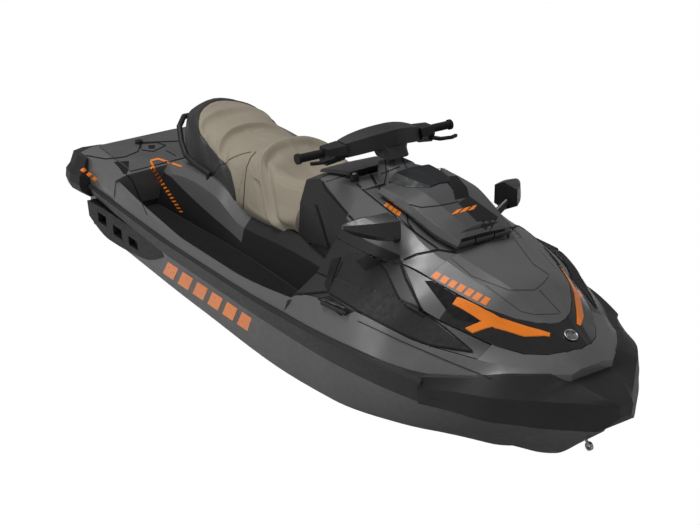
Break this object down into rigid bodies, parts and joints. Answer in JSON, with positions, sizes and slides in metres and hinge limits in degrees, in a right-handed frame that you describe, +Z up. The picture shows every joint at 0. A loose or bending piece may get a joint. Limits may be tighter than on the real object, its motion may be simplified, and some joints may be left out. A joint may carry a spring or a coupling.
{
  "type": "personal watercraft",
  "caption": "Sit-astride jet-driven personal watercraft with faceted hull, bow bumper, padded saddle, handlebar, mirrors and opening front storage lid.",
  "frame": {"origin": "on the centreline at the transom, on the still waterline, 260 mm above the keel", "axes": "+X forward to the bow, +Y to port, +Z up"},
  "size_m": [3.47, 1.255, 1.13],
  "materials": {
    "bumper": "matte",
    "impeller_steel": "polished",
    "dark_paint": "metallic gloss",
    "deck_paint": "metallic gloss",
    "black_plastic": "matte",
    "engine_metal": "matte",
    "mat": "ribbed matte",
    "display_glass": "gloss",
    "dark_plastic": "satin",
    "grip_rubber": "matte",
    "bar_metal": "matte",
    "hull_paint": "satin",
    "pump_metal": "cast",
    "mirror_face": "polished",
    "orange_paint": "gloss",
    "badge_metal": "satin",
    "black_gloss": "gloss",
    "seat_cover": "matte"
  },
  "bodies": {
    "craft": {"bow_bumper": "bumper", "bow_eye": "impeller_steel", "console": "dark_paint", "deck": "deck_paint", "deck_cleats": "black_plastic", "engine_block": "engine_metal", "footwell_mats": "mat", "grab_handle": "black_plastic", "hood": "deck_paint", "hull": "hull_paint", "intake_grate": "pump_metal", "mirror_glass": "mirror_face", "mirrors": "dark_paint", "nose_accents": "orange_paint", "nose_badge": "badge_metal", "nose_panel": "black_gloss", "pump_housing": "pump_metal", "rear_anchors": "black_plastic", "rear_deck_mat": "mat", "ride_plate": "pump_metal", "rub_rails": "bumper", "seat_front": "seat_cover", "seat_rear": "seat_cover", "shroud_panels": "dark_paint", "side_cowls": "deck_paint", "side_fairings": "black_gloss", "sponsons": "black_plastic", "steering_boot": "dark_paint", "stern_bumpers": "bumper", "stern_eyes": "impeller_steel", "storage_bin": "black_plastic", "venturi": "pump_metal"},
    "steering": {"handlebar": "bar_metal", "handlebar_cover": "dark_plastic", "grips": "grip_rubber", "steering_stem": "impeller_steel", "throttle_lever": "black_plastic", "reverse_lever": "black_plastic", "switch_pods": "black_plastic"},
    "nozzle": {"steering_nozzle": "black_plastic"},
    "rotor": {"impeller": "impeller_steel"},
    "gate": {"reverse_gate": "black_plastic"},
    "front_lid": {"storage_lid": "dark_paint", "gauge_display": "display_glass"},
    "glove_lid": {"glove_box_lid": "dark_plastic"}
  },
  "joints": [
    {"name": "handlebar_steer", "type": "hinge", "parent": "craft", "child": "steering", "pos_m": [2.01, 0, 0.68], "axis": [-0.475, 0, 0.88], "range_deg": [-25, 25]},
    {"name": "nozzle_steer", "type": "hinge", "parent": "craft", "child": "nozzle", "pos_m": [0.1, 0, -0.11], "axis": [0, 0, 1], "range_deg": [-20, 20]},
    {"name": "impeller_spin", "type": "hinge", "parent": "craft", "child": "rotor", "pos_m": [0.36, 0, -0.11], "axis": [1, 0, 0], "continuous": true},
    {"name": "reverse_gate_swing", "type": "hinge", "parent": "craft", "child": "gate", "pos_m": [0.17, 0, -0.11], "axis": [0, -1, 0], "range_deg": [0, 45]},
    {"name": "storage_lid_swing", "type": "hinge", "parent": "craft", "child": "front_lid", "pos_m": [2.56, 0, 0.585], "axis": [0, 1, 0], "range_deg": [0, 60]},
    {"name": "glove_box_lid_swing", "type": "hinge", "parent": "craft", "child": "glove_lid", "pos_m": [1.862, 0, 0.667], "axis": [0, 1, 0], "range_deg": [0, 30]}
  ],
  "couplings": [
    {"joint": "nozzle_steer", "follows": "handlebar_steer", "ratio": -0.8}
  ]
}
